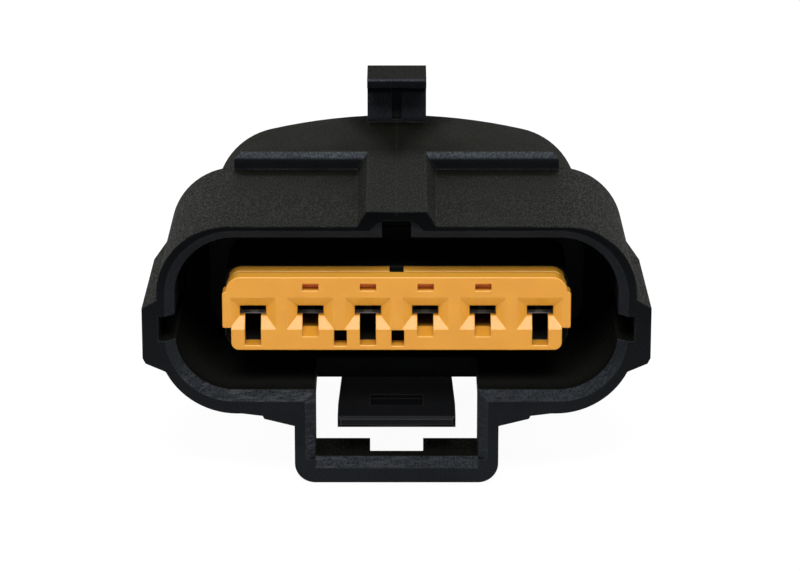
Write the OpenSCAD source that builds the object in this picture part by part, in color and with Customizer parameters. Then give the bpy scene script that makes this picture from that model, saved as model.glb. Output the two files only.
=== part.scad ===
// Sealed six-way socket connector for a vehicle harness.
// A one-piece hooded housing carries a contact tower, a front retainer that locks
// the contacts, a ring seal round the tower, a rubber seal on each wire and a
// see-saw lock lever behind a guard loop.
// Frame: X along the contact row, mating face towards -Y, +Z up.
// Origin: middle of the contact row, in the plane of the hood's rim. Millimetres.

/* [Contact row] */
// Number of contacts; every width follows from it
ways = 6; // [5:1:8]
// Distance between neighbouring contacts
pitch = 4.5; // [4.4:0.05:4.8]

/* [Tower] */
// Distance from the middle of an outermost contact to the tower's side
tower_end = 2.25; // [2.1:0.05:2.5]
// Height of the tower above the contact row
tower_top = 2.9; // [2.8:0.05:3.1]
// Depth of the tower below the contact row
tower_bottom = 3.35; // [3.3:0.05:3.5]
// Radius of the tower's corners
tower_r = 1.2; // [0.8:0.1:1.4]
// Distance of the tower's front face behind the rim plane
tower_front = 2.8; // [2.7:0.05:3]

/* [Hood] */
// Distance from the tower's side to the hood's outer face
hood_margin = 5.2; // [5:0.05:5.8]
// Height of the hood's top above the contact row
hood_top = 7.4; // [7.2:0.05:8]
// Depth of the hood's underside below the contact row
hood_bottom = 7.95; // [7.8:0.05:8.4]
// Radius of the hood's upper corners
hood_r = 5.6; // [5.2:0.1:6.2]
// Radius of the hood's lower corners
hood_low_r = 6.2; // [5.8:0.1:6.6]
// Radius of the corners of its opening
open_r = 4.65; // [4.2:0.05:4.9]
// Length of the hood from its rim to its rear edge
hood_len = 17.3; // [16.5:0.1:19]
// How far the hood's outer faces draw in towards its rear edge
hood_draft = 0.2; // [0.05:0.05:0.3]
// Hood wall at the sides
side_wall = 1.4; // [1.2:0.05:1.6]
// Hood wall at the top
top_wall = 1.1; // [0.95:0.05:1.2]
// Hood wall at the floor
floor_wall = 1.75; // [1.6:0.05:1.9]
// Chamfer round the inside of the rim
rim_chamfer = 0.75; // [0.4:0.05:0.8]
// Thickness of the wall that closes the hood behind the tower
web_t = 1.7; // [1.4:0.1:2]

/* [Key rails] */
// Half width of the top rail at its crest
rail_half_w = 2.35; // [2.1:0.05:2.8]
// Height of the top rail above the hood
rail_h = 1.21; // [1.1:0.01:1.4]
// How much wider the rail's foot is, each side
rail_flare = 0.72; // [0.4:0.02:1]
// Half width of the keyway under the top rail
key_half_w = 1.12; // [0.8:0.02:1.3]
// Depth of the keyway above the hood's inside
key_h = 1.35; // [1.2:0.05:1.5]
// Length of the side rails at full width
lug_len = 12.3; // [10:0.1:13]
// How far the side rails stand out of the hood
lug_out = 1.15; // [0.9:0.05:1.2]
// Height of the side rails' upper corner above the contact row
lug_top = 0.73; // [0.6:0.01:0.9]
// Depth of the side rails' lower corner below the contact row
lug_low = 3.35; // [3.2:0.05:3.5]
// Height of the notch inside each side rail
notch_h = 2; // [1.6:0.1:2.2]

/* [Cross rib] */
// Thickness of the rib across the hood's rear edge
rib_t = 0.8; // [0.8:0.05:1.2]
// Distance of the rib's ends from the sides of the rear section
rib_inset = 2.05; // [1.8:0.05:2.6]
// Radius of the rib's upper front edge
rib_r = 0.75; // [0.3:0.05:0.75]

/* [Rear section] */
// Length of the rear section behind the hood
rear_len = 11; // [10.5:0.1:12]
// How much narrower the rear section is than the hood, each side
rear_inset = 3.4; // [3.2:0.05:3.7]
// Radius of its crowned top
crown_r = 47; // [40:1:60]
// Radius between the crown and the sides
rear_r = 6; // [5.5:0.1:6.2]
// Height of the hood's underside above its underside
rear_rise = 1.45; // [1.3:0.05:1.6]
// Radius of its lower corners
rear_low_r = 4.5; // [4:0.1:5]
// Depth of the cored pockets in the rear face
core_depth = 6.5; // [4:0.1:7]

/* [Clip hook] */
// Half width of the hook
hook_half_w = 2.46; // [2.2:0.02:3]
// Height of the hook above the crown
hook_h = 4.4; // [4:0.01:4.6]
// Length of the hook's top plate
hook_len = 5; // [4.6:0.1:5.4]
// Thickness of the hook's top plate
hook_t = 0.75; // [0.6:0.05:0.9]
// Thickness of the hook's post
hook_post_t = 2.3; // [1.8:0.1:2.6]
// Radius between the post and the plate
hook_fillet = 1.2; // [0.8:0.1:1.4]

/* [Guard loop] */
// Half width inside the guard loop
guard_half_w = 6.42; // [6.2:0.02:6.6]
// Thickness of the guard's side walls
guard_wall = 1.6; // [1.4:0.05:1.7]
// Height of the guard loop under the hood
guard_h = 5.78; // [5.6:0.02:6]
// Thickness of the crossbar
bar_t = 1.95; // [1.8:0.05:2.1]
// Depth of the crossbar, front to back
bar_len = 4.8; // [4.5:0.1:5.3]
// Radius of the guard's outer corners
guard_r = 1.6; // [1:0.05:1.8]
// Length of the slot in the hood's floor above the lever
slot_len = 8.4; // [8:0.1:9]
// Half width of the notch in the crossbar
bar_notch_half_w = 2.12; // [1.8:0.02:2.6]

/* [Lever] */
// Half width of the lever at its tip
lever_half_w = 4.65; // [4.3:0.05:4.8]
// How much narrower the lever is at its torsion bars, each side
lever_taper = 0.2; // [0.1:0.05:0.4]
// Thickness of the lever's front arm
lever_t = 0.95; // [0.9:0.05:1.1]
// Gap between the hood's underside and the lever
lever_gap = 0.5; // [0.45:0.01:0.6]
// Distance of the lever's tip behind the rim plane
lever_tip = 0.6; // [0.4:0.1:1]
// Distance of the torsion bars' axis behind the rim plane
pivot_y = 13; // [12.6:0.1:13.4]
// Radius of the torsion bars
pivot_r = 0.5; // [0.45:0.01:0.55]
// Length of the lever's rear arm behind the axis
rear_arm = 11.6; // [11:0.1:12]

/* [Front retainer] */
// Thickness of the retainer's front plate
plate_t = 1.4; // [1.3:0.05:1.5]
// Gap between the retainer's front plate and the tower
plate_gap = 0.2; // [0.1:0.05:0.3]
// How much narrower the plate's lower part is than the tower, each side
plate_inset = 0.55; // [0.4:0.05:0.7]
// Height of the plate's underside above the tower's
plate_rise = 0.28; // [0.2:0.02:0.4]
// Length of the skirt over the tower's top
skirt_len = 1.3; // [1:0.05:1.4]
// Depth of the lead-in funnels
funnel_d = 0.8; // [0.6:0.05:0.9]
// Travel between its locked and its open place
retainer_travel = 1.6; // [1.4:0.1:1.8]

/* [Contacts] */
// Width of the tab that a contact takes
tab_w = 1.8; // [1.7:0.05:1.85]
// Thickness of the tab that a contact takes
tab_t = 0.64; // [0.5:0.02:0.7]
// Length of the crimp that grips the bare wire
wire_crimp_len = 2.9; // [2.5:0.1:3]
// Length of the crimp that grips the wire seal
seal_crimp_len = 2.4; // [2:0.1:2.5]
// Sheet thickness of the contact
sheet = 0.2; // [0.16:0.01:0.22]
// Thickness of the spring cage's steel
cage_t = 0.12; // [0.1:0.01:0.14]
// Length of the contact box
box_len = 6.5; // [6.3:0.1:6.7]

/* [Seals] */
// Radius of the hole for the wire
wire_r = 0.7; // [0.6:0.02:0.74]
// Radius of a wire seal over its ribs
wire_seal_r = 1.86; // [1.8:0.01:1.9]
// Length of a wire seal's ribbed body
wire_seal_len = 6.8; // [6.4:0.1:7.2]
// Thickness of the ring seal without its ribs
ring_t = 1.1; // [0.9:0.05:1.2]
// Height of the ring seal's ribs
ring_rib = 0.5; // [0.3:0.05:0.6]
// Length of the ring seal
ring_len = 4.6; // [4:0.1:5]

/* [Hidden] */
$fn = 48;
// a cut reaches this far past the face that it opens
over = 0.5;
// regions of one piece are sunk this far into each other
bond = 0.1;
// running gap between pieces that fit together
fit_gap = 0.05;
// gap round a piece that lies loosely in its pocket
loose_gap = 0.1;

// distance of the lances' tips behind the front of the contact boxes
lance_set = 3.3;

// ---- places along the depth
web_front = hood_len - web_t;
rear_end = hood_len + rear_len;
rib_front = hood_len - rib_t;
plate_back = tower_front - plate_gap;
plate_front = plate_back - plate_t;
skirt_back = tower_front + skirt_len;
box_front = tower_front + 0.5;
box_back = box_front + box_len;
lance_tip = box_front + lance_set;
lance_root = box_back + 1.6;
wire_crimp_y = box_back + 1.5;
wire_crimp_end = wire_crimp_y + wire_crimp_len;
seal_crimp_y = wire_crimp_end + 1.3;
seal_crimp_end = seal_crimp_y + seal_crimp_len;
bore_front = seal_crimp_end + 0.6;
seal_neck_y = seal_crimp_y + 0.1;
seal_body_y = bore_front + 0.3;
ring_back = web_front;
ring_front = ring_back - ring_len;

// ---- half widths
row_half = (ways - 1) / 2 * pitch;
tower_half_w = row_half + tower_end;
hood_half_w = tower_half_w + hood_margin;
lug_half_w = hood_half_w + lug_out;
open_half_w = hood_half_w - side_wall;
rear_half_w = hood_half_w - rear_inset;
rib_half_w = rear_half_w - rib_inset;
guard_half_out = guard_half_w + guard_wall;
plate_half_w = tower_half_w + 0.12;
plate_low_half_w = tower_half_w - plate_inset;

// ---- heights above and depths below the contact row
rail_top = hood_top + rail_h;
open_top = hood_top - top_wall;
open_bottom = hood_bottom - floor_wall;
rear_bottom = hood_bottom - rear_rise;
guard_bottom = hood_bottom + guard_h;
bar_top = guard_bottom - bar_t;
lever_drop = hood_bottom + lever_gap;
lever_under = lever_drop + lever_t;
pivot_drop = lever_drop + 0.45;
plate_bottom = tower_bottom - plate_rise;

// ---- lever rails under the hood and their feet
lever_rail_x = guard_half_w + 0.5;
lever_rail_w = 1.5;
foot_len = 7.7;
foot_y = rear_end - 0.6 - foot_len;
lever_tail = pivot_y + rear_arm;
lever_waist = lever_half_w - lever_taper;
pad_t = 1.5;

// ---- contact, spring cage and the cavity round them
box_half_w = tab_w / 2 + sheet + 0.05;
box_half_h = 1.05;
cage_half_w = box_half_w + cage_t;
cage_half_h = box_half_h + cage_t;
cavity_half_w = cage_half_w + loose_gap;
cavity_half_h = cage_half_h + loose_gap;
window_half_w = 0.7;
window_tip = lance_tip - 0.2;
window_end = window_tip + 1.8;
// how far the lip of the box's floor stands behind the box's top
lip_set = 1.2;
neck_r = wire_r + 0.42;
seal_crimp_r = neck_r + sheet + 0.02;
bore_r = wire_seal_r + 0.03;
lance_half_w = 0.55;
lance_under = cavity_half_h + 0.62;

// ---- retainer: skirt, fingers behind the lances, and snap arms between contacts
skirt_t = 0.55;
skirt_key_half_w = 0.45;
finger_half_w = 0.75;
finger_top = lance_under + 0.12;
finger_under = finger_top + 0.55;
arm_gaps = [1, ways - 1];
arm_len = 5.2;
arm_end = plate_back + arm_len;
arm_half_w = 0.45;
arm_top = 0.9;
arm_under = 2;
tool_gaps = [ceil(ways / 2) - 1, ceil(ways / 2)];
deep_stems = [1, 3, ways];

function contact_x(i) = (i - (ways + 1) / 2) * pitch;
function gap_x(i) = (i - ways / 2) * pitch;
function is_deep(i) = len(search(i, deep_stems)) > 0;

// ---- drawing helpers: sketches lie in X and Z, and are pulled along Y
module pull(y0, y1) {
    translate([0, y1, 0]) rotate([90, 0, 0]) linear_extrude(y1 - y0) children();
}

module frame2d(x0, x1, z0, z1) {
    translate([x0, z0]) square([x1 - x0, z1 - z0]);
}

// rectangle with rounded corners: radius low_r at the two lower ones
module rounded2d(x0, x1, z0, z1, r, low_r) {
    q = is_undef(low_r) ? r : low_r;
    m = max(r, q);
    frame2d(x0 + m, x1 - m, z0, z1);
    frame2d(x0, x1, z0 + q, z1 - r);
    for (x = [x0 + r, x1 - r]) translate([x, z1 - r]) circle(r);
    for (x = [x0 + q, x1 - q]) translate([x, z0 + q]) circle(q);
    if (q > r) frame2d(x0 + r, x1 - r, z0 + q, z1);
    if (r > q) frame2d(x0 + q, x1 - q, z0, z1 - r);
}

module brick(x0, x1, y0, y1, z0, z1) {
    translate([x0, y0, z0]) cube([x1 - x0, y1 - y0, z1 - z0]);
}

// a sketch in Y and Z, pulled along X between -half and +half
module across(half) {
    rotate([90, 0, 90]) translate([0, 0, -half]) linear_extrude(2 * half) children();
}

// a sketch in X and Y, pulled along Z
module upright(z0, z1) {
    translate([0, 0, z0]) linear_extrude(z1 - z0) children();
}

// a four-sided funnel that narrows along +Y
module funnel(half_w, half_h, flare_w, flare_h, depth) {
    grow = 1 + over / depth;
    w0 = half_w + flare_w * grow;
    h0 = half_h + flare_h * grow;
    intersection() {
        upright(-h0, h0)
            polygon([[-w0, -over], [w0, -over], [half_w, depth], [-half_w, depth]]);
        across(w0) polygon([[-over, -h0], [-over, h0], [depth, half_h], [depth, -half_h]]);
    }
}

// the cut that chamfers the mouth of a rounded opening by c at the rim plane
module mouth_chamfer(half_w, z0, z1, r, c) {
    reach = c + over;
    for (x = [-half_w + r, half_w - r], z = [z0 + r, z1 - r])
        translate([x, -over, z]) rotate([-90, 0, 0])
            cylinder(h = reach, r1 = r + reach, r2 = r);
    across(half_w - r) polygon([
        [-over, z0 - reach], [-over, z1 + reach], [c, z1], [c, z0]]);
    upright(z0 + r, z1 - r) polygon([
        [-half_w - reach, -over], [half_w + reach, -over], [half_w, c], [-half_w, c]]);
}

// ---- housing
// rounded block whose outer faces all draw in by hood_draft towards its rear edge
module hood_block() {
    up_x = hood_half_w - hood_r;
    low_x = hood_half_w - hood_low_r;
    up_z = hood_top - hood_r;
    low_z = -hood_bottom + hood_low_r;
    rear_w = hood_half_w - hood_draft;
    for (x = [-up_x, up_x]) translate([x, 0, up_z]) rotate([-90, 0, 0])
        cylinder(h = hood_len, r1 = hood_r, r2 = hood_r - hood_draft);
    for (x = [-low_x, low_x]) translate([x, 0, low_z]) rotate([-90, 0, 0])
        cylinder(h = hood_len, r1 = hood_low_r, r2 = hood_low_r - hood_draft);
    across(up_x) polygon([
        [0, 0], [0, hood_top], [hood_len, hood_top - hood_draft], [hood_len, 0]]);
    across(low_x) polygon([
        [0, 0], [0, -hood_bottom], [hood_len, -hood_bottom + hood_draft], [hood_len, 0]]);
    upright(low_z, up_z) polygon([
        [-hood_half_w, 0], [hood_half_w, 0], [rear_w, hood_len], [-rear_w, hood_len]]);
}

// trapezoid whose feet are sunk into the hood
module rail_outline() {
    sink = 0.4;
    foot = rail_half_w + rail_flare * (rail_h + sink) / rail_h;
    polygon([[-foot, hood_top - sink], [-rail_half_w, rail_top],
        [rail_half_w, rail_top], [foot, hood_top - sink]]);
}

module lug_outline() {
    lip = 0.45;
    low = -lug_low - 1.25;
    polygon([[open_half_w, lug_top + 1.6], [hood_half_w - 0.1, lug_top + 0.75],
        [lug_half_w, lug_top], [lug_half_w, -lug_low], [lug_half_w - lip / 2, -lug_low - lip],
        [hood_half_w - 0.9, low], [open_half_w, low]]);
}

module side_lug() {
    draft = 0.2;
    lug_end = hood_len - 0.1;
    intersection() {
        pull(0, hood_len) lug_outline();
        upright(-hood_bottom, hood_top) polygon([[open_half_w, 0], [lug_half_w, 0],
            [lug_half_w - draft, lug_len], [hood_half_w - hood_draft - bond, lug_end],
            [open_half_w, lug_end]]);
    }
}

// crowned outline of the rear section: a flat arc over two tangent corner arcs
module rear_outline() {
    corner_x = rear_half_w - rear_r;
    span = crown_r - rear_r;
    crown_z = rail_top - crown_r;
    corner_z = crown_z + sqrt(span * span - corner_x * corner_x);
    tilt = asin(corner_x / span);
    tip = [crown_r * 1.01 * sin(tilt), crown_r * 1.01 * cos(tilt)];
    low_z = -rear_bottom + rear_low_r;
    low_x = rear_half_w - rear_low_r;
    intersection() {
        translate([0, crown_z]) circle(crown_r, $fn = 360);
        polygon([[-corner_x, corner_z], [-tip[0], crown_z + tip[1]], [0, rail_top + 1],
            [tip[0], crown_z + tip[1]], [corner_x, corner_z]]);
    }
    for (s = [-1, 1]) {
        translate([s * corner_x, corner_z]) circle(rear_r, $fn = 96);
        translate([s * low_x, low_z]) circle(rear_low_r, $fn = 96);
    }
    frame2d(-rear_half_w, rear_half_w, low_z, corner_z);
    frame2d(-low_x, low_x, -rear_bottom, low_z);
}

// straight rib over the hood's rear edge, its upper front edge rounded
module cross_rib() {
    foot = hood_top - hood_draft - 0.2;
    slant = 0.55;
    intersection() {
        across(rib_half_w) {
            polygon([[rib_front, foot], [rib_front, rail_top - rib_r],
                [rib_front + rib_r, rail_top], [hood_len, rail_top], [hood_len, foot]]);
            translate([rib_front + rib_r, rail_top - rib_r]) circle(rib_r);
        }
        pull(rib_front, hood_len) polygon([
            [-rib_half_w, foot], [-rib_half_w, rail_top - slant], [-rib_half_w + slant, rail_top],
            [rib_half_w - slant, rail_top], [rib_half_w, rail_top - slant], [rib_half_w, foot]]);
    }
}

// forward-facing hook that takes a harness clip: a plate on a post, joined by a
// hollow curve and split by a narrow groove
module clip_hook() {
    foot = rail_top - 0.6;
    crest = rail_top + hook_h;
    under = crest - hook_t;
    front = rear_end - hook_len;
    post = rear_end - hook_post_t;
    edge = 0.15;
    back_edge = 0.3;
    groove_half_w = 0.4;
    curve_y = post - hook_fillet;
    difference() {
        across(hook_half_w) {
            polygon([[post, foot], [post, under], [front, under], [front, crest - edge],
                [front + edge, crest], [rear_end - back_edge, crest],
                [rear_end, crest - back_edge], [rear_end, foot]]);
            difference() {
                frame2d(curve_y, post + bond, under - hook_fillet, under + bond);
                translate([curve_y, under - hook_fillet]) circle(hook_fillet);
            }
        }
        brick(-groove_half_w, groove_half_w, curve_y - over, post + 0.6,
            rail_top + 0.3, under);
    }
}

// loop under the hood, with the stepped flares that join it to the hood's floor
module guard_outline() {
    flare_x = guard_half_out + 2.5;
    rounded2d(-guard_half_out, guard_half_out, -guard_bottom, -open_bottom, guard_r);
    for (s = [0, 1]) mirror([s, 0]) polygon([
        [0, -hood_bottom + 0.3], [flare_x + 2.4, -hood_bottom + 0.3],
        [flare_x + 2.4, -hood_bottom + 0.1], [flare_x, -hood_bottom - 0.2],
        [flare_x - 0.13, -hood_bottom - 0.45], [guard_half_out, -hood_bottom - 1.05],
        [0, -hood_bottom - 1.05]]);
}

// rail under the hood that carries one torsion bar of the lever, and ends in a
// foot that shields the lever's press pad and stands level with the guard
module lever_rail() {
    low = pivot_drop + 1.1;
    wide = 1.6;
    rear = rear_end - 0.6;
    bevel = 1.3;
    joint_z = -rear_bottom + 0.5;
    root_z = -hood_bottom + hood_draft + 0.3;
    translate([lever_rail_x + lever_rail_w / 2, 0, 0]) across(lever_rail_w / 2) polygon([
        [bar_len - 0.2, root_z], [bar_len - 0.2, -hood_bottom - 0.9],
        [pivot_y - wide, -low], [pivot_y + wide, -low], [foot_y, -guard_bottom + bevel],
        [foot_y + bevel, -guard_bottom], [rear - bevel, -guard_bottom],
        [rear, -guard_bottom + bevel], [rear, joint_z],
        [hood_len - 0.2, joint_z], [hood_len - 0.2, root_z]]);
}

module housing_solid() {
    hood_block();
    pull(0, hood_len) rail_outline();
    for (s = [0, 1]) mirror([s, 0, 0]) {
        side_lug();
        lever_rail();
    }
    pull(0, bar_len) guard_outline();
    pull(rib_front + rib_r, rear_end) rear_outline();
    cross_rib();
    clip_hook();
}

// the hood's mouth with its keyway, side notches and lever slot, all chamfered
module hood_cavity() {
    notch_top = 0.05;
    pull(-over, web_front)
        rounded2d(-open_half_w, open_half_w, -open_bottom, open_top, open_r);
    mouth_chamfer(open_half_w, -open_bottom, open_top, open_r, rim_chamfer);
    brick(-key_half_w, key_half_w, -over, web_front, open_top - over, open_top + key_h);
    key_mouth();
    for (s = [0, 1]) mirror([s, 0, 0])
        brick(open_half_w - 1, hood_half_w - 0.15, -over, lug_len,
            notch_top - notch_h, notch_top);
    guard_mouth();
}

// the keyway's mouth flares at its sides more than at its top
module key_mouth() {
    depth = 0.6;
    grow = 1 + over / depth;
    crest = open_top + key_h;
    hull() {
        pull(-over, -over + 0.01) polygon([
            [-key_half_w - 0.95 * grow, open_top - over], [-key_half_w - 0.95 * grow, open_top + 0.3],
            [-key_half_w - 0.5 * grow, crest - 0.2], [-key_half_w + 0.1, crest + 0.2 * grow],
            [key_half_w - 0.1, crest + 0.2 * grow], [key_half_w + 0.5 * grow, crest - 0.2],
            [key_half_w + 0.95 * grow, open_top + 0.3], [key_half_w + 0.95 * grow, open_top - over]]);
        pull(depth - 0.01, depth) frame2d(-key_half_w, key_half_w, open_top - over, crest);
    }
}

// the loop below the floor, and the slot that joins it to the hood's mouth
module guard_mouth() {
    c = rim_chamfer;
    reach = c + over;
    brick(-guard_half_w, guard_half_w, -over, bar_len + over, -bar_top, -open_bottom + 1);
    brick(-guard_half_w, guard_half_w, -over, slot_len, -hood_bottom - over, -open_bottom + 1);
    across(guard_half_w) polygon([
        [-over, -bar_top - reach], [-over, -bar_top + 1], [c, -bar_top + 1], [c, -bar_top]]);
    upright(-bar_top, -open_bottom) polygon([
        [-guard_half_w - reach, -over], [guard_half_w + reach, -over],
        [guard_half_w, c], [-guard_half_w, c]]);
    brick(-bar_notch_half_w, bar_notch_half_w, 1.9, bar_len + over,
        -guard_bottom - over, -bar_top + 1);
}

module tower_solid() {
    step_z = tower_top - skirt_t - loose_gap;
    step_y = skirt_back + loose_gap;
    difference() {
        pull(tower_front, web_front + bond)
            rounded2d(-tower_half_w, tower_half_w, -tower_bottom, tower_top, tower_r);
        brick(-tower_half_w - over, tower_half_w + over, tower_front - over, step_y,
            step_z, tower_top + over);
    }
    // key that fits the retainer's top notch
    brick(-skirt_key_half_w, skirt_key_half_w, tower_front, step_y + bond,
        step_z - bond, tower_top - 0.15);
}

// room for one contact: box, crimps, lance and the round bore of its wire seal
module contact_cavity() {
    crimp_half = seal_crimp_r + loose_gap;
    brick(-cavity_half_w, cavity_half_w, tower_front - over, box_back + 0.4,
        -cavity_half_h, cavity_half_h);
    pull(box_back, bore_front + bond)
        rounded2d(-crimp_half, crimp_half, -crimp_half, crimp_half, 0.5);
    brick(-finger_half_w - loose_gap, finger_half_w + loose_gap, tower_front - over, lance_root,
        -finger_under - loose_gap, -cavity_half_h + bond);
    translate([0, bore_front, 0]) rotate([-90, 0, 0]) cylinder(h = rear_end, r = bore_r);
    // countersink that leads the seal in
    translate([0, rear_end - 0.3, 0]) rotate([-90, 0, 0])
        cylinder(h = 0.6, r1 = bore_r, r2 = bore_r + 0.6);
}

// flexible finger of the housing that catches the window under a contact
module lance() {
    top = -cavity_half_h - 0.08;
    hook = -box_half_h + 0.12;
    across(lance_half_w) polygon([
        [lance_tip + 0.1, -lance_under], [lance_root + bond, -lance_under],
        [lance_root + bond, top], [lance_tip + 1.4, top], [lance_tip + 1, hook],
        [lance_tip + 0.6, hook], [lance_tip, top]]);
}

// cored pockets above and below the row of bores, between thin ribs
module rear_cores() {
    inner = bore_r + 1.45;
    half = pitch / 2 - 0.5;
    for (i = [1:ways - 1]) pull(rear_end - core_depth, rear_end + over) {
        rounded2d(gap_x(i) - half, gap_x(i) + half, inner, inner + 2.9, 0.5);
        rounded2d(gap_x(i) - half, gap_x(i) + half, -rear_bottom + 1.2, -inner, 0.5);
    }
}

// pocket between two contacts that takes one of the retainer's snap arms
module snap_pocket() {
    half = arm_half_w + loose_gap;
    back = arm_end + loose_gap;
    brick(-half, half, tower_front - over, back, -arm_under - loose_gap, -arm_top + loose_gap);
    brick(-half, half, back - 1.3 - retainer_travel, back, -tower_bottom - over, -arm_under);
}

module housing() {
    color([0.09, 0.09, 0.1]) difference() {
        union() {
            difference() {
                housing_solid();
                hood_cavity();
            }
            tower_solid();
        }
        for (i = [1:ways]) translate([contact_x(i), 0, 0]) contact_cavity();
        for (i = arm_gaps) translate([gap_x(i), 0, 0]) snap_pocket();
        rear_cores();
        // room above the lever's rear arm, and the sockets of its torsion bars
        brick(-lever_half_w - 0.6, lever_half_w + 0.6, pivot_y - 0.8, hood_len + bond,
            -hood_bottom - over, -hood_bottom + 0.75);
        translate([0, pivot_y, -pivot_drop]) rotate([0, 90, 0])
            cylinder(h = 2 * (lever_rail_x + 1), r = pivot_r + fit_gap, center = true);
    }
    color([0.09, 0.09, 0.1])
        for (i = [1:ways]) translate([contact_x(i), 0, 0]) lance();
}

// ---- lever
// side view: a thin front arm, the bar zone, and a thick press pad
module lever_profile() {
    edge = 0.4;
    crest = 0.1;
    crest_half = 1;
    ramp = 4.5;
    pad_len = 5.2;
    pad_ramp = 1.2;
    back_top = lever_drop + 0.2;
    pad_front = lever_tail - pad_len;
    polygon([
        [lever_tip, -lever_drop - 0.2], [lever_tip + 0.2, -lever_drop],
        [pivot_y - 2.5 * crest_half, -lever_drop], [pivot_y - crest_half, -lever_drop - crest],
        [pivot_y + crest_half, -lever_drop - crest],
        [pivot_y + crest_half + ramp, -back_top],
        [lever_tail - edge, -back_top], [lever_tail, -back_top - edge],
        [lever_tail, -lever_under - pad_t + edge], [lever_tail - edge, -lever_under - pad_t],
        [pad_front, -lever_under - pad_t], [pad_front - pad_ramp, -lever_under - 0.2],
        [pivot_y - 2, -lever_under], [lever_tip + 0.3, -lever_under],
        [lever_tip, -lever_under + 0.3]]);
}

module lock_lever() {
    tip_r = 0.25;
    pad_corner = 0.8;
    pocket_half_w = 2.1;
    pocket_set = 2.7;
    pocket_len = 2.6;
    pocket_depth = 0.4;
    bar_end = lever_rail_x + 0.8;
    color([0.1, 0.1, 0.11]) {
        difference() {
            intersection() {
                across(lever_half_w) lever_profile();
                upright(-lever_under - pad_t, 0) for (s = [0, 1]) mirror([s, 0]) polygon([
                    [0, lever_tip], [lever_half_w - tip_r, lever_tip],
                    [lever_half_w, lever_tip + tip_r], [lever_half_w, lever_tip + 3],
                    [lever_waist, pivot_y - 2], [lever_waist, lever_tail - pad_corner],
                    [lever_waist - pad_corner, lever_tail], [0, lever_tail]]);
            }
            // pocket whose front wall catches the mating housing's lock
            translate([0, lever_tip + pocket_set, 0]) brick(-pocket_half_w, pocket_half_w,
                0, pocket_len, -lever_drop - pocket_depth, 0);
            // finger grooves under the press pad
            for (k = [0:3]) translate([0, lever_tail - 1.2 - k * 1.1, -lever_under - pad_t])
                rotate([0, 90, 0])
                    cylinder(h = 3 * lever_half_w, r = 0.3, center = true, $fn = 24);
        }
        for (s = [0, 1]) mirror([s, 0, 0])
            translate([lever_waist - over, pivot_y, -pivot_drop]) rotate([0, 90, 0])
                cylinder(h = bar_end - lever_waist + over, r = pivot_r);
    }
}

// ---- front retainer
// outline of the front plate: rounded above, wider along the middle, narrower below
module plate_outline() {
    wing_top = tower_top - 1.2;
    wing_low = -1.25;
    top_half_w = tower_half_w - 0.15;
    rounded2d(-top_half_w, top_half_w, wing_low, tower_top, tower_r, 0.3);
    rounded2d(-plate_half_w, plate_half_w, wing_low, wing_top, 0.25, 0.12);
    rounded2d(-plate_low_half_w, plate_low_half_w, -plate_bottom, 0, 0.6);
}

// T-shaped mouth of one contact: funnel, tab slot and the stem for a test probe
module contact_mouth(i) {
    deep = is_deep(i);
    half_w = tab_w / 2 + 0.13;
    half_h = tab_t / 2 + 0.1;
    drop = 0.08;
    stem_half_w = 0.63;
    stem_wall = deep ? 0.38 : 1.08;
    stem_low = plate_bottom - stem_wall;
    floor_rise = 0.6;
    translate([0, plate_front, 0]) {
        translate([0, 0, -drop]) {
            funnel(half_w, half_h, 0.8, 0.88, funnel_d);
            brick(-half_w, half_w, 0, plate_t + over, -half_h, half_h);
        }
        if (deep) brick(-stem_half_w, stem_half_w, -over, plate_t + over, -stem_low, 0);
        else across(stem_half_w) polygon([[-over, -stem_low - 0.15],
            [plate_t + over, -stem_low + floor_rise], [plate_t + over, 0], [-over, 0]]);
    }
}

module front_retainer() {
    skirt_low = tower_top - skirt_t;
    skirt_half_w = tower_half_w - 0.15;
    color([0.93, 0.6, 0.13]) {
        difference() {
            union() {
                pull(plate_front, plate_back) plate_outline();
                // neck and skirt that lie over the tower's stepped top
                intersection() {
                    union() {
                        brick(-tower_half_w, tower_half_w, plate_back - bond, tower_front + bond,
                            skirt_low, tower_top - 0.22);
                        brick(-tower_half_w, tower_half_w, tower_front, skirt_back,
                            skirt_low, tower_top);
                    }
                    pull(0, skirt_back + 1) rounded2d(-skirt_half_w, skirt_half_w,
                        -tower_bottom, tower_top, tower_r);
                }
            }
            for (i = [1:ways]) translate([contact_x(i), 0, 0]) contact_mouth(i);
            // sight slots above the inner contacts
            for (i = [2:ways - 1]) translate([contact_x(i), 0, 0])
                brick(-0.6, 0.65, plate_front - over, plate_front + 0.9, 1.8, 2.35);
            // tool windows between the contacts
            for (i = tool_gaps) translate([gap_x(i), 0, 0])
                brick(-0.4, 0.6, plate_front - over, plate_back + over, -2.75, -1.45);
            // notch over the tower's key
            brick(-skirt_key_half_w - loose_gap, skirt_key_half_w + loose_gap, plate_back,
                skirt_back + over, skirt_low - over, tower_top + over);
        }
        // fingers that stand behind the lances; a deep stem leaves its lance open to a tool
        for (i = [1:ways]) if (!is_deep(i)) translate([contact_x(i), 0, 0])
            brick(-finger_half_w, finger_half_w, plate_back - bond, lance_tip + 1.2,
                -finger_under, -finger_top);
        // snap arms
        for (i = arm_gaps) translate([gap_x(i), 0, 0])
            across(arm_half_w) polygon([
                [plate_back - bond, -arm_under], [plate_back - bond, -arm_top],
                [arm_end, -arm_top], [arm_end, -arm_under], [arm_end - 0.2, -arm_under - 0.3],
                [arm_end - 0.7, -arm_under - 0.3], [arm_end - 1.1, -arm_under]]);
    }
}

// ---- seals
module ring_band(y0, y1, grow) {
    slack = 0.02;
    pull(y0, y1) difference() {
        rounded2d(-tower_half_w - grow, tower_half_w + grow,
            -tower_bottom - grow, tower_top + grow, tower_r + grow);
        rounded2d(-tower_half_w - slack, tower_half_w + slack,
            -tower_bottom - slack, tower_top + slack, tower_r + slack);
    }
}

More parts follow.
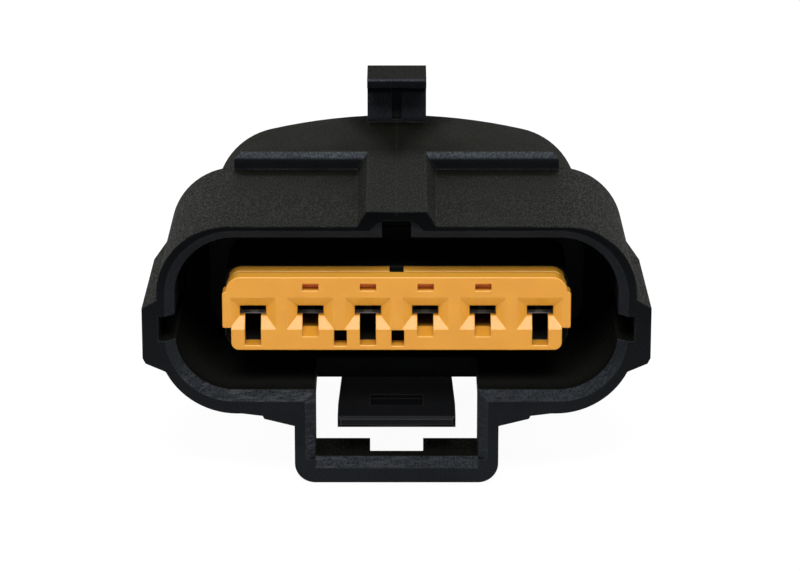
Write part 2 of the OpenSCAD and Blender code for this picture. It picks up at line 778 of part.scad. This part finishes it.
module ring_seal() {
    color([0.16, 0.17, 0.2]) {
        ring_band(ring_front, ring_back, ring_t);
        for (k = [0:2]) {
            mid = ring_front + ring_len * (k + 0.5) / 3;
            ring_band(mid - 0.45, mid + 0.45, ring_t + ring_rib * 0.6);
            ring_band(mid - 0.22, mid + 0.22, ring_t + ring_rib);
        }
    }
}

module wire_seal(i) {
    root_r = wire_seal_r - 0.35;
    color([0.2, 0.42, 0.62]) translate([contact_x(i), 0, 0]) rotate([-90, 0, 0])
        rotate_extrude() difference() {
            union() {
                frame2d(0, neck_r, seal_neck_y, seal_body_y);
                frame2d(0, root_r, seal_body_y, seal_body_y + wire_seal_len);
                for (k = [0:2]) translate([root_r, seal_body_y + 1.2 + k * 2.2])
                    circle(wire_seal_r - root_r, $fn = 24);
            }
            frame2d(-1, wire_r, 0, rear_end);
        }
}

// ---- contacts
module crimp_ring(y0, y1, r_in, r_out) {
    pull(y0, y1) difference() {
        circle(r_out);
        circle(r_in);
    }
}

module terminal(i) {
    floor_z = -box_half_h + sheet;
    half = 0.6;
    contact_z = -tab_t / 2;
    lip = box_front + lip_set;
    beam_half = tab_w / 8;
    beam_x = tab_w / 2 - beam_half - 0.15;
    beam_t = 0.22;
    beam_tip = box_front + 0.7;
    beam_crest = box_front + 1.6;
    beam_root = window_tip - 0.2;
    color([0.8, 0.78, 0.72]) translate([contact_x(i), 0, 0]) {
        difference() {
            pull(box_front, box_back) difference() {
                rounded2d(-box_half_w, box_half_w, -box_half_h, box_half_h, 0.15);
                rounded2d(-box_half_w + sheet, box_half_w - sheet, floor_z, -floor_z, 0.05);
            }
            // window that the lance catches
            brick(-window_half_w, window_half_w, window_tip, window_end, -box_half_h - over, 0);
            // mouth that slants back to the lip of the floor
            across(box_half_w + over) polygon([
                [box_front - over, -box_half_h - over], [box_front - over, tab_t],
                [box_front, tab_t], [lip, floor_z + 0.1], [lip, -box_half_h - over]]);
        }
        // two sprung beams that press on the tab
        for (s = [-1, 1]) translate([s * beam_x, 0, 0]) across(beam_half) polygon([
            [beam_root, floor_z - 0.05], [beam_crest + 0.25, contact_z - 0.04],
            [beam_crest - 0.25, contact_z - 0.04], [beam_tip, contact_z - 0.35],
            [beam_tip, contact_z - 0.35 - beam_t], [beam_crest - 0.25, contact_z - beam_t],
            [beam_crest + 0.15, contact_z - beam_t], [beam_root - 0.3, floor_z - 0.05]]);
        // floor strip from the box to the crimps
        across(half) polygon([
            [box_back - bond, -box_half_h], [box_back - bond, floor_z],
            [wire_crimp_end, floor_z], [seal_crimp_y + 0.2, -seal_crimp_r + sheet],
            [seal_crimp_y + 0.2, -seal_crimp_r], [wire_crimp_end, -box_half_h]]);
        difference() {
            union() {
                crimp_ring(wire_crimp_y, wire_crimp_end, wire_r + 0.05, box_half_h);
                crimp_ring(seal_crimp_y, seal_crimp_end, neck_r + 0.02, seal_crimp_r);
            }
            brick(-0.04, 0.04, wire_crimp_y - over, seal_crimp_end + over, 0, 3);
        }
    }
}

// stainless cage that wraps the contact box and backs its tongue
module terminal_spring(i) {
    gap = 0.02;
    color([0.7, 0.71, 0.73]) translate([contact_x(i), 0, 0]) difference() {
        pull(box_front + lip_set + 0.1, box_back - 0.9) difference() {
            rounded2d(-cage_half_w, cage_half_w, -cage_half_h, cage_half_h, 0.15);
            rounded2d(-box_half_w - gap, box_half_w + gap,
                -box_half_h - gap, box_half_h + gap, 0.1);
        }
        brick(-window_half_w, window_half_w, window_tip, window_end, -box_half_h - over, 0);
        brick(-0.05, 0.05, 0, box_back, 0, 3);
    }
}

housing();
front_retainer();
ring_seal();
lock_lever();
for (i = [1:ways]) {
    terminal(i);
    terminal_spring(i);
    wire_seal(i);
}
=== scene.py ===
"""Sealed six-way socket connector: looks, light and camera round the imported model.

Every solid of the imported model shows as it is, and this script adds no piece of its own.
Places in the materials are object coordinates in millimetres: x along the row of contacts,
y from the mating face to the wires, z up. Directions are parts of the surface's own normal.
"""
import math

import bpy
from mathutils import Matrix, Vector


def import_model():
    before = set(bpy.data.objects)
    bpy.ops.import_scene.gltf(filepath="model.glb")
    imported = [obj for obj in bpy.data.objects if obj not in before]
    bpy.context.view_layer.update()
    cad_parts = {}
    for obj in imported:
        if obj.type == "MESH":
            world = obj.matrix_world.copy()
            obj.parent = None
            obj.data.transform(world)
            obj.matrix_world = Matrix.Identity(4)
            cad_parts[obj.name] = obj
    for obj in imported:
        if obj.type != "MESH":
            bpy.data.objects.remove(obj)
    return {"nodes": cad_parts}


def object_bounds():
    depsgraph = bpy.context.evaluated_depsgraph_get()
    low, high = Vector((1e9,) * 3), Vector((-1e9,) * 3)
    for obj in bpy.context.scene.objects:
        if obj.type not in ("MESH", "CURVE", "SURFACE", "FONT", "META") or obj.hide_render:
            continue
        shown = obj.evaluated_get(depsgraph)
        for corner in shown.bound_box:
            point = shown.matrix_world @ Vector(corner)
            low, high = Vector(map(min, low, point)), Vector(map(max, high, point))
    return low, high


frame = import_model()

CAD_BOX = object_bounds()
SCENE = bpy.context.scene
MM = 0.001
MM_PER_METRE = 1000.0
RISE = (0.0, 1.0)
FALL = (1.0, 0.0)
HALF_EACH_WAY = (-0.5, 0.5)


# ---- node helpers
def new_node(tree, kind, ins=(), out=0, **settings):
    """Adds a node, sets or links its inputs, and gives one of its outputs."""
    node = tree.nodes.new(kind)
    for key, value in settings.items():
        setattr(node, key, value)
    for key, value in dict(ins).items():
        put(tree, value, node.inputs[key])
    return node.outputs[out] if node.outputs else None


def put(tree, value, socket):
    if isinstance(value, bpy.types.NodeSocket):
        tree.links.new(value, socket)
    else:
        socket.default_value = value


def grey(level, warm=0.0):
    """An opaque grey, with a little less blue where it is warm."""
    return (level, level, level - warm, 1)


class Nodes:
    """A short way to write a material's node tree."""

    def __init__(self, name):
        self.material = bpy.data.materials.new(name)
        self.material.use_nodes = True
        self.tree = self.material.node_tree
        self.shader = self.tree.nodes["Principled BSDF"]
        self.coords = None

    def add(self, kind, ins=(), out=0, **settings):
        return new_node(self.tree, kind, ins, out, **settings)

    def math(self, op, a, b=0.0):
        return self.add("ShaderNodeMath", {0: a, 1: b}, operation=op)

    def times(self, first, *others):
        for other in others:
            first = self.math("MULTIPLY", first, other)
        return first

    def rest(self, share):
        """What a share between 0 and 1 leaves over."""
        return self.math("SUBTRACT", 1.0, share)

    def place(self):
        """Object coordinates in millimetres."""
        if self.coords is None:
            raw = self.add("ShaderNodeTexCoord", out="Object")
            self.coords = self.add("ShaderNodeVectorMath", {0: raw, "Scale": MM_PER_METRE},
                                   operation="SCALE")
        return self.coords

    def axis(self, number):
        """One object coordinate in millimetres."""
        return self.add("ShaderNodeSeparateXYZ", {0: self.place()}, out=number)

    def normal_axis(self, number):
        """One part of the surface's own direction, in the object's axes."""
        raw = self.add("ShaderNodeTexCoord", out="Normal")
        return self.add("ShaderNodeSeparateXYZ", {0: raw}, out=number)

    def noise(self, scale, detail=2.0, rough=0.5, stretch=None, offset=(0, 0, 0)):
        vector = self.place()
        if stretch or offset != (0, 0, 0):
            vector = self.add("ShaderNodeMapping", {
                "Vector": vector, "Location": offset, "Scale": stretch or (1, 1, 1)})
        return self.add("ShaderNodeTexNoise", {
            "Vector": vector, "Scale": scale, "Detail": detail, "Roughness": rough})

    def ramp(self, value, span, to=RISE, smooth=True):
        """Goes from one number to the other as the value crosses the span."""
        return self.add("ShaderNodeMapRange", {
            "Value": value, "From Min": span[0], "From Max": span[1],
            "To Min": to[0], "To Max": to[1]},
            interpolation_type="SMOOTHSTEP" if smooth else "LINEAR")

    def band(self, value, rise, fall):
        """1 from the end of the first span to the start of the second, and 0 outside both."""
        return self.times(self.ramp(value, rise), self.ramp(value, fall, FALL))

    def mix(self, share, a, b):
        """A colour between two colours."""
        return self.add("ShaderNodeMix", {0: share, 6: a, 7: b}, out=2, data_type="RGBA")

    def blend(self, share, a, b):
        """A number between two numbers."""
        return self.add("ShaderNodeMix", {0: share, 2: a, 3: b}, data_type="FLOAT")

    def tint(self, colour, amount):
        """A colour made darker or lighter by a factor."""
        return self.add("ShaderNodeVectorMath", {0: colour, "Scale": amount}, operation="SCALE")

    def bump(self, height, depth_mm, strength, normal=None):
        ins = {"Height": height, "Distance": depth_mm * MM, "Strength": strength}
        if normal is not None:
            ins["Normal"] = normal
        return self.add("ShaderNodeBump", ins)

    def rounded_edges(self, radius_mm, bend):
        """A normal that rounds the edges off, and a mask of where it bends."""
        flat = self.add("ShaderNodeNewGeometry", out="True Normal")
        rounded = self.add("ShaderNodeBevel", {"Radius": radius_mm * MM}, samples=6)
        along = self.add("ShaderNodeVectorMath", {0: flat, 1: rounded}, out="Value",
                         operation="DOT_PRODUCT")
        return rounded, self.ramp(self.rest(along), bend)

    def finish(self, **sockets):
        for key, value in sockets.items():
            put(self.tree, value, self.shader.inputs[key.replace("_", " ")])
        return self.material


# ---- black plastic of the housing
class Housing(Nodes):
    """Tints go by where a face is and which way it looks, so they stay on the part."""
    # spans along y
    LEAD_IN = (0.8, 2.5)                # from the rim into the hood
    RIM_REGION = (5.0, 12.0)            # where the front faces end
    HOOD_BACK = (16.5, 17.2)            # the last of the hood's inside
    HOOD_END = (16.5, 17.5)             # where the hood meets the crowned rear section
    CROWN_MIDDLE = (18.0, 22.0)
    # spans along z
    HEIGHT = (-14.0, 8.5)               # from the guard's bottom to the key rail's top
    LOW_CHAMFERS = (-9.0, 0.0)
    HIGH_CHAMFERS = (5.0, 8.2)
    CROWN_TOP = (8.2, 8.4)              # just under the upper side of key rail and crown
    HOOK_FOOT = (8.7, 9.2)              # where the clip hook's post rises from the crown
    CROWN_END = (9.6, 9.8)              # above the crown, on the post
    HOOK_HEAD = (11.0, 11.4)            # the post's upper end, under the hook's plate
    CAVITY_LOW, CAVITY_HIGH = (-6.5, -6.3), (6.35, 6.6)
    TOWER_LOW, TOWER_HIGH = (-3.9, -3.5), (3.2, 3.6)
    LOWER_LEAD_IN = (-4.0, -5.5)
    # spans of the distance from the middle along x
    PARTING_LINE = (0.02, 0.06)
    TOWER_SIDE = (13.6, 14.0)
    CAVITY_SIDE = (17.4, 17.8)
    LUG_TOP = (18.75, 18.95)
    # spans of a noise
    MIDDLE = (0.35, 0.65)
    SPECKS = (0.3, 0.7)

    def __init__(self):
        super().__init__("housing_black")
        self.x, self.y, self.z = (self.axis(number) for number in range(3))
        self.across = self.math("ABSOLUTE", self.x)
        self.ahead = self.times(self.normal_axis(1), -1.0)
        self.up = self.normal_axis(2)
        # how far a face looks ahead or up, as shares between 0 and 1
        leans_ahead, straight_ahead = (0.15, 0.35), (0.85, 0.95)
        self.front = self.ramp(self.ahead, (0.15, 0.65))
        self.upper = self.times(self.ramp(self.up, (0.0, 0.3)), self.rest(self.front))
        self.slant = self.band(self.ahead, leans_ahead, straight_ahead)
        self.tilt = self.times(self.ramp(self.up, (0.22, 0.42)),
                               self.ramp(self.ahead, leans_ahead))
        self.grain = self.noise(9.0, 2.0, 0.6)
        self.speck = self.noise(7.5, 2.0, 0.65, offset=(5, 2, 9), stretch=(1, 0.3, 1))
        self.shade = self.hook_shade()

    def hook_shade(self):
        """A soft wedge on the crown in front of the clip hook, where the photo shows its
        shadow. It is a painted shade, weaker than the photo's, and stays in other light."""
        start, widens, soft = 17.0, 0.36, (-1.7, 0.9)
        half_width = self.times(self.math("SUBTRACT", self.y, start), widens)
        wedge = self.ramp(self.math("SUBTRACT", half_width, self.across), soft)
        on_crown = self.band(self.z, (8.0, 8.4), (9.6, 9.9))
        return self.times(wedge, self.upper, on_crown)

    def plain_colour(self):
        """Warm black on upper sides, cooler and a little lighter on all others: painted light
        by the way a face looks.
        """
        cloud = self.ramp(self.noise(0.35, 3.0, 0.6, offset=(3, 1, 7)), self.MIDDLE)
        warm = self.mix(cloud, (0.0033, 0.0036, 0.0027, 1), (0.0042, 0.0045, 0.0035, 1))
        cool = self.mix(cloud, (0.0050, 0.0057, 0.0068, 1), (0.0058, 0.0066, 0.0078, 1))
        return self.mix(self.upper, cool, warm)

    def level(self):
        """How much lighter or darker than the plain colour a face is: painted light and shade,
        and the grain's specks.
        """
        # painted shade: upright front faces get darker towards the top
        upright = self.times(self.ramp(self.ahead, (0.85, 0.97)),
                             self.ramp(self.y, self.RIM_REGION, FALL))
        level = self.blend(upright, 1.0,
                           self.ramp(self.z, self.HEIGHT, (1.5, 0.25), smooth=False))
        # painted light: chamfers are lighter, and the rounded upper front edges most of all,
        # where the highlights fall
        level = self.times(
            level,
            self.blend(self.slant, 1.0, self.ramp(self.z, self.LOW_CHAMFERS, (2.3, 1.7))),
            self.blend(self.tilt, 1.0, self.ramp(self.z, self.HIGH_CHAMFERS, (1.2, 3.8))))
        # painted light and shade: the hook's post is lighter and its head dark, the crown's
        # rear a little lighter, and the hook's painted shadow darker
        level = self.times(
            level,
            self.ramp(self.z, self.HOOK_HEAD, (1.0, 0.25)),
            self.ramp(self.z, self.HOOK_FOOT, (1.0, 2.2)),
            self.ramp(self.y, self.CROWN_MIDDLE, (1.0, 1.4)),
            self.blend(self.shade, 1.0, 0.5))
        # the grain's specks vary the tone at random, and much more on the rounded upper front
        # edges, where that is a painted sparkle
        speck_tone_and_sparkle = self.ramp(self.speck, (0.25, 0.75), (self.blend(self.tilt, 0.75, 0.35),
                                                      self.blend(self.tilt, 1.25, 1.65)))
        return self.times(level, speck_tone_and_sparkle)

    def inside_hood(self):
        """1 on the hood's inward-facing walls and on the tower, which only see each other."""
        hood = self.times(self.ramp(self.across, self.CAVITY_SIDE, FALL),
                          self.band(self.z, self.CAVITY_LOW, self.CAVITY_HIGH),
                          self.band(self.y, self.LEAD_IN, self.HOOD_BACK))
        tower = self.times(self.ramp(self.across, self.TOWER_SIDE, FALL),
                           self.band(self.z, self.TOWER_LOW, self.TOWER_HIGH))
        outward = self.math("ADD", self.times(self.x, self.normal_axis(0)),
                            self.times(self.z, self.up))
        inward = self.ramp(outward, HALF_EACH_WAY, FALL)
        return self.times(hood, self.math("MAXIMUM", tower, inward))

    def inside_painted_light(self):
        # painted light inside the hood: faces looking down are lightest, upward ones less, and
        # faces looking ahead darker
        walls = self.mix(self.ramp(self.up, (-0.5, 0.3)), grey(0.011, 0.002),
                         grey(0.0068, 0.0006))
        return self.mix(self.ramp(self.ahead, (0.3, 0.7)), walls, grey(0.0036, 0.0002))

    def rub_marks(self):
        """Marks along the lower lead-in, more of them on the left."""
        streaks = self.noise(1.3, 4.0, 0.7, offset=(2, 0, 4), stretch=(0.5, 1.0, 4.0))
        return self.times(self.ramp(streaks, (0.50, 0.60)), self.slant,
                          self.ramp(self.z, self.LOWER_LEAD_IN),
                          self.ramp(self.x, (-8.0, 6.0), (0.9, 0.25)))

    def parting_line(self):
        """The mould's parting line over the key rail and the crown, broken by the grain."""
        return self.times(self.ramp(self.across, self.PARTING_LINE, FALL),
                          self.band(self.z, self.CROWN_TOP, self.CROWN_END),
                          self.ramp(self.speck, (0.35, 0.7), (0.0, 0.20)))

    def colour(self, bent):
        colour = self.tint(self.plain_colour(), self.level())
        colour = self.mix(self.inside_hood(), colour, self.inside_painted_light())
        # over that: the lugs' outermost sides lighter as painted light, edges with wear and a
        # painted highlight, rub marks and the parting line
        lug_painted_light = self.times(self.ramp(self.across, self.LUG_TOP), self.rest(self.front))
        colour = self.mix(lug_painted_light, colour, grey(0.0068, 0.0008))
        # edges lighter in patches along the grain, partly wear and partly a painted highlight
        patch = self.noise(0.45, 2.0, 0.5, offset=(8, 1, 2))
        worn_and_highlit = self.times(bent, self.ramp(self.grain, (0.40, 0.62)),
                          self.ramp(patch, (0.45, 0.62), (0.30, 0.85)))
        colour = self.mix(worn_and_highlit, colour, (0.036, 0.038, 0.041, 1))
        colour = self.mix(self.rub_marks(), colour, (0.034, 0.036, 0.040, 1))
        return self.mix(self.parting_line(), colour, grey(0.05, 0.005))

    def roughness(self):
        """The grain shows as rougher and smoother specks, calmer on the crown."""
        level = self.blend(self.front, self.ramp(self.y, self.HOOD_END, (0.62, 0.72)), 0.46)
        spread = self.blend(self.front, self.ramp(self.y, self.HOOD_END, (0.42, 0.20)), 0.12)
        specks = self.times(spread, self.ramp(self.speck, self.SPECKS, HALF_EACH_WAY))
        return self.math("ADD", self.math("ADD", level, specks), self.times(self.shade, 0.22))

    def build(self):
        edge, bent = self.rounded_edges(0.22, (0.02, 0.16))
        height = self.math("ADD", self.times(self.grain, 0.4), self.speck)
        relief = self.bump(height, 0.080, self.blend(self.front, 1.0, 0.32), edge)
        # the very low specular level fits the all-white surroundings of this scene
        return self.finish(Base_Color=self.colour(bent), Roughness=self.roughness(),
                           Normal=relief, Specular_IOR_Level=0.0108,
                           Specular_Tint=(1.0, 1.0, 0.72, 1))


# ---- other materials
GRAIN_SPAN = (0.3, 0.7)


def lever_black():
    n = Nodes("lever_black")
    grain = n.noise(10.0, 3.0, 0.6)
    base = n.mix(n.ramp(grain, GRAIN_SPAN), (0.0030, 0.0032, 0.0038, 1),
                 (0.0044, 0.0046, 0.0052, 1))
    # edges with wear and a painted highlight, most of all at the tip
    tip = (2.5, 3.5)
    edge, bent = n.rounded_edges(0.14, (0.01, 0.10))
    worn_and_highlit = n.times(bent, n.ramp(grain, (0.30, 0.55), (0.25, 1.0)),
                   n.ramp(n.axis(1), tip, (0.85, 0.30)))
    base = n.mix(worn_and_highlit, base, (0.050, 0.051, 0.054, 1))
    return n.finish(Base_Color=base, Roughness=n.ramp(grain, GRAIN_SPAN, (0.42, 0.54)),
                    Normal=n.bump(grain, 0.015, 0.4, edge), Specular_IOR_Level=0.05)


def retainer_amber():
    n = Nodes("retainer_amber")
    y, z = n.axis(1), n.axis(2)
    ahead = n.times(n.normal_axis(1), -1.0)
    grain = n.noise(6.0, 3.0, 0.6)
    cloud = n.noise(0.5, 2.0, 0.5)
    base = n.mix(n.ramp(cloud, GRAIN_SPAN), (0.500, 0.214, 0.0095, 1),
                 (0.480, 0.201, 0.0080, 1))
    # painted light: faces that turn away from the front are lighter and yellower, the ledge
    # above the plate most
    ledge, slot_low = (2.7, 2.9), (1.6, 1.8)
    slot_front, slot_back = (1.25, 1.35), (2.3, 2.5)
    turned = n.ramp(ahead, (0.80, 0.97), FALL)
    turned_painted_light = n.mix(n.ramp(z, ledge), (0.56, 0.255, 0.026, 1), (0.78, 0.365, 0.042, 1))
    base = n.mix(turned, base, turned_painted_light)
    # painted light: the floors of the sight slots are a brighter, redder orange
    slot_floor_light = n.times(n.ramp(ahead, (0.9, 0.95)), n.band(y, slot_front, slot_back),
                   n.ramp(z, slot_low))
    base = n.mix(slot_floor_light, base, (1.0, 0.24, 0.003, 1))
    # painted highlight: moulded edges are lighter along their upper side
    edge, bent = n.rounded_edges(0.17, (0.01, 0.10))
    edge_up = n.add("ShaderNodeSeparateXYZ", {0: edge}, out=2)
    edge_highlight = n.times(bent, n.ramp(edge_up, (0.10, 0.50)), 0.6)
    base = n.mix(edge_highlight, base, (0.85, 0.46, 0.10, 1))
    return n.finish(Base_Color=base, Roughness=n.ramp(grain, GRAIN_SPAN, (0.28, 0.36)),
                    Normal=n.bump(grain, 0.008, 0.25, edge), Specular_IOR_Level=0.5,
                    Subsurface_Weight=0.2, Subsurface_Radius=(1.0, 0.35, 0.1),
                    Subsurface_Scale=0.3 * MM)


def rubber(name, low, high, level):
    n = Nodes(name)
    grain = n.noise(5.0, 3.0, 0.6)
    return n.finish(Base_Color=n.mix(n.ramp(grain, GRAIN_SPAN), low, high),
                    Roughness=n.ramp(grain, GRAIN_SPAN, (0.45, 0.6)),
                    Normal=n.bump(grain, 0.01, 0.4), Specular_IOR_Level=level)


def metal(name, low, high):
    """Drawn sheet metal. Its front end is tinted much darker, because reflections see white
    surroundings here even in the contact mouths, where the photo shows almost none."""
    n = Nodes(name)
    drawn = n.noise(7.0, 3.0, 0.6, stretch=(3, 0.3, 3))
    behind_mouth = (3.5, 5.5)
    base = n.tint(n.mix(n.ramp(drawn, GRAIN_SPAN), low, high),
                  n.ramp(n.axis(1), behind_mouth, (0.09, 1.0)))
    return n.finish(Base_Color=base, Metallic=1.0, Normal=n.bump(drawn, 0.004, 0.5),
                    Roughness=n.ramp(drawn, GRAIN_SPAN, (0.36, 0.48)))


def dress(start, material):
    """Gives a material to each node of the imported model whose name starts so."""
    for name, obj in frame["nodes"].items():
        if name.startswith(start):
            obj.data.materials.clear()
            obj.data.materials.append(material)


dress("housing", Housing().build())
dress("lock_lever", lever_black())
dress("front_retainer", retainer_amber())
dress("ring_seal", rubber("ring_rubber", (0.0060, 0.0064, 0.0068, 1),
                          (0.0080, 0.0084, 0.0090, 1), 0.03))
dress("wire_seal_", rubber("wire_rubber", (0.05, 0.12, 0.24, 1), (0.06, 0.14, 0.27, 1), 0.3))
# the contacts come first, since the springs' names start like theirs
dress("terminal_", metal("contact_tin", (0.160, 0.153, 0.138, 1), (0.240, 0.230, 0.208, 1)))
dress("terminal_spring_", metal("spring_steel", grey(0.38), grey(0.50)))


# ---- stage, light and camera
WHITE = grey(1.0)
FLOOR_HALF = 1.5
FLOOR_DROP = 0.02 * MM                  # keeps the floor off the crossbar's underside
FLOOR_GLOW = 0.95                       # what is left over takes the shadow
FILL_LEVEL = 0.35
AIM = (0, 0.012, 0)
SIDE_SIZE, KEY_SIZE, REAR_SIZE = (0.25, 0.20), (0.35, 0.20), (0.06, 0.05)
SIDE_POWER, KEY_POWER, REAR_POWER = 1.6, 3.1, 0.4
CAMERA_PLACE = (0.00027, -0.2646, 0.0886)
CAMERA_DOWN = 18                        # degrees below the level
SENSOR, LENS = 36, 161.3


def white_rays(tree):
    """1 for camera, glossy and transmission rays, and 0 for those that light the part."""
    path = tree.nodes.new("ShaderNodeLightPath")
    seen = path.outputs["Is Camera Ray"]
    for ray in ("Is Glossy Ray", "Is Transmission Ray"):
        seen = new_node(tree, "ShaderNodeMath", {0: seen, 1: path.outputs[ray]},
                        operation="ADD", use_clamp=True)
    return seen


def floor_white():
    """White for the camera and for reflections; the rest of it takes the shadow."""
    material = bpy.data.materials.new("floor_white")
    material.use_nodes = True
    tree = material.node_tree
    tree.nodes.clear()
    share = new_node(tree, "ShaderNodeMath", {0: white_rays(tree), 1: FLOOR_GLOW},
                     operation="MULTIPLY")
    plain = new_node(tree, "ShaderNodeBsdfDiffuse", {0: grey(0.9)})
    glow = new_node(tree, "ShaderNodeEmission", {0: WHITE, 1: 1.0})
    both = new_node(tree, "ShaderNodeMixShader", {0: share, 1: plain, 2: glow})
    new_node(tree, "ShaderNodeOutputMaterial", {0: both})
    return material


def floor():
    z = CAD_BOX[0][2] - FLOOR_DROP
    corners = [(-1, -1), (1, -1), (1, 1), (-1, 1)]
    mesh = bpy.data.meshes.new("floor")
    mesh.from_pydata([(x * FLOOR_HALF, y * FLOOR_HALF, z) for x, y in corners],
                     [], [(0, 1, 2, 3)])
    obj = bpy.data.objects.new("floor", mesh)
    SCENE.collection.objects.link(obj)
    mesh.materials.append(floor_white())


def world():
    """White for the camera and for reflections, and a dimmer fill on the part."""
    sky = bpy.data.worlds.new("studio")
    SCENE.world = sky
    sky.use_nodes = True
    tree = sky.node_tree
    tree.nodes.clear()
    fill = new_node(tree, "ShaderNodeBackground", {0: WHITE, 1: FILL_LEVEL})
    white = new_node(tree, "ShaderNodeBackground", {0: WHITE, 1: 1.0})
    both = new_node(tree, "ShaderNodeMixShader", {0: white_rays(tree), 1: fill, 2: white})
    new_node(tree, "ShaderNodeOutputWorld", {0: both})


def softbox(name, place, size, power):
    data = bpy.data.lights.new(name, "AREA")
    data.shape = "RECTANGLE"
    data.size, data.size_y = size
    data.energy = power
    obj = bpy.data.objects.new(name, data)
    SCENE.collection.objects.link(obj)
    obj.location = place
    obj.rotation_euler = (Vector(AIM) - Vector(place)).to_track_quat("-Z", "Y").to_euler()


def camera():
    data = bpy.data.cameras.new("camera")
    data.sensor_width = SENSOR
    data.lens = LENS
    obj = bpy.data.objects.new("camera", data)
    SCENE.collection.objects.link(obj)
    obj.location = CAMERA_PLACE
    obj.rotation_euler = (math.radians(90 - CAMERA_DOWN), 0, 0)
    SCENE.camera = obj


floor()
world()
softbox("left_box", (-0.36, 0.18, 0.14), SIDE_SIZE, SIDE_POWER)
softbox("right_box", (0.36, 0.18, 0.14), SIDE_SIZE, SIDE_POWER)
softbox("key_box", (0, -0.31, 0.40), KEY_SIZE, KEY_POWER)
softbox("rear_left", (-0.11, 0.335, 0.19), REAR_SIZE, REAR_POWER)
softbox("rear_right", (0.11, 0.335, 0.19), REAR_SIZE, REAR_POWER)
camera()
SCENE.view_settings.view_transform = "Standard"
